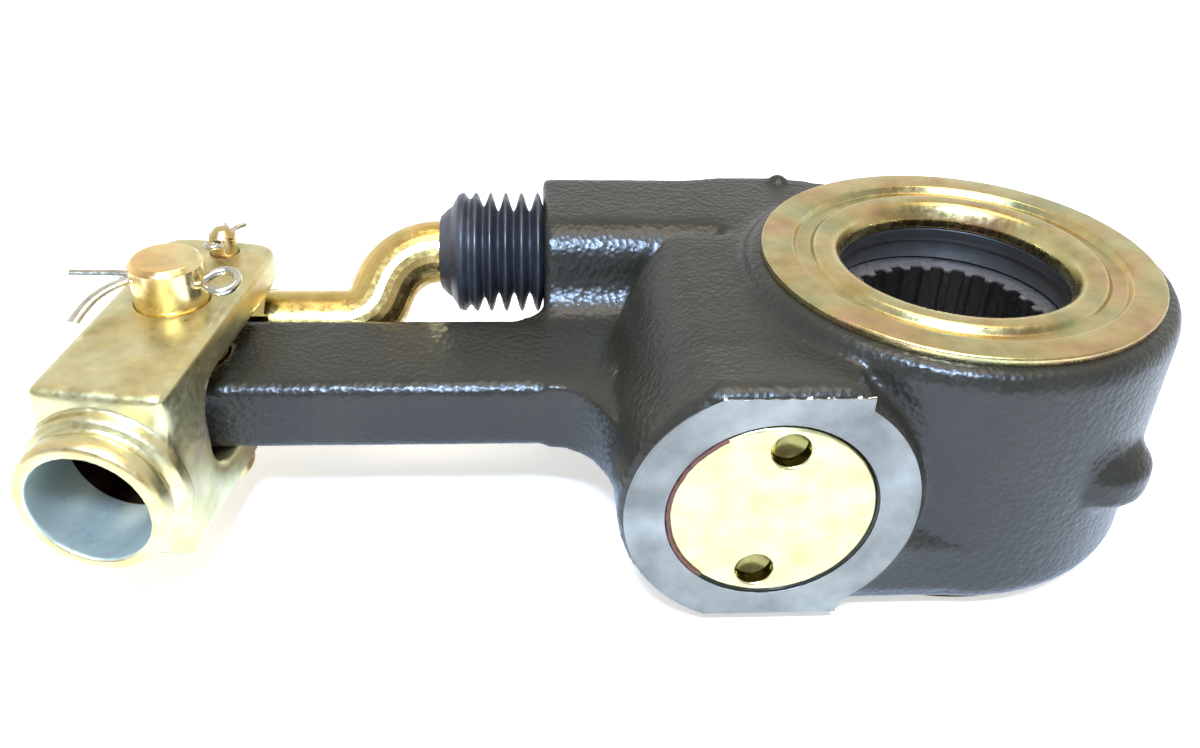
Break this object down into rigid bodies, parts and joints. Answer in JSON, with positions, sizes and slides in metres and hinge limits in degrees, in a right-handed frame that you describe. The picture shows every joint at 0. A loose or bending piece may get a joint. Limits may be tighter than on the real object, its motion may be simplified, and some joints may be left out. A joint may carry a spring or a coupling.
{
  "type": "brake slack adjuster",
  "caption": "Automatic brake slack adjuster: cast arm with a splined worm wheel, end plug, booted link rod and a push rod clevis.",
  "frame": {"origin": "spline axis, half way between the hub's end faces", "axes": "+Z along the spline axis towards the top cover, -X along the arm, -Y out of the end plug"},
  "size_m": [0.1975, 0.0943, 0.0526],
  "materials": {
    "cast_iron": "semi-gloss black paint on sand casting",
    "zinc": "yellow zinc dichromate",
    "brass_zinc": "deep yellow zinc",
    "steel": "machined",
    "bronze": "turned bronze",
    "rubber": "satin moulded rubber"
  },
  "bodies": {
    "body": {"housing": "cast_iron", "arm_bushing": "bronze", "end_plug": "zinc", "plug_seal": "rubber", "pressure_spring": "steel", "outer_race": "steel", "bearing_balls": "steel", "worm_bushing": "bronze", "hex_seal": "rubber", "upper_bushing": "bronze", "lower_bushing": "bronze", "upper_seal": "rubber", "lower_seal": "rubber", "top_cover": "zinc", "bottom_cover": "zinc", "rack_bush": "bronze", "boot": "rubber", "grease_fitting": "steel"},
    "wheel": {"worm_wheel": "steel"},
    "worm": {"worm": "steel", "inner_race": "steel", "clutch_spring": "steel"},
    "pinion": {"pinion": "steel"},
    "link": {"link_rod": "brass_zinc", "rack": "steel", "rack_pin": "steel"},
    "clevis": {"clevis": "zinc", "clevis_pin": "zinc", "clevis_cotter": "steel", "link_pin": "zinc", "link_cotter": "steel"}
  },
  "joints": [
    {"name": "wheel_spin", "type": "hinge", "parent": "body", "child": "wheel", "pos_m": [0, 0, 0], "axis": [0, 0, 1], "continuous": true},
    {"name": "worm_spin", "type": "hinge", "parent": "body", "child": "worm", "pos_m": [-0.038, 0, 0], "axis": [0, 1, 0], "continuous": true},
    {"name": "clevis_swing", "type": "hinge", "parent": "body", "child": "clevis", "pos_m": [-0.1397, 0, 0], "axis": [0, 0, 1], "range_deg": [-10, 15]},
    {"name": "link_slide", "type": "slide", "parent": "body", "child": "link", "axis": [1, 0, 0], "range_m": [-0.00487, 0.00328], "deforming": ["boot"]},
    {"name": "pinion_turn", "type": "hinge", "parent": "body", "child": "pinion", "pos_m": [-0.038, 0, 0], "axis": [0, 1, 0], "range_deg": [-31.74, 21.33]}
  ],
  "couplings": [
    {"joint": "worm_spin", "follows": "wheel_spin", "ratio": 28},
    {"joint": "link_slide", "follows": "clevis_swing", "m_per_rad": -0.018224},
    {"joint": "pinion_turn", "follows": "clevis_swing", "ratio": -2.0828}
  ]
}
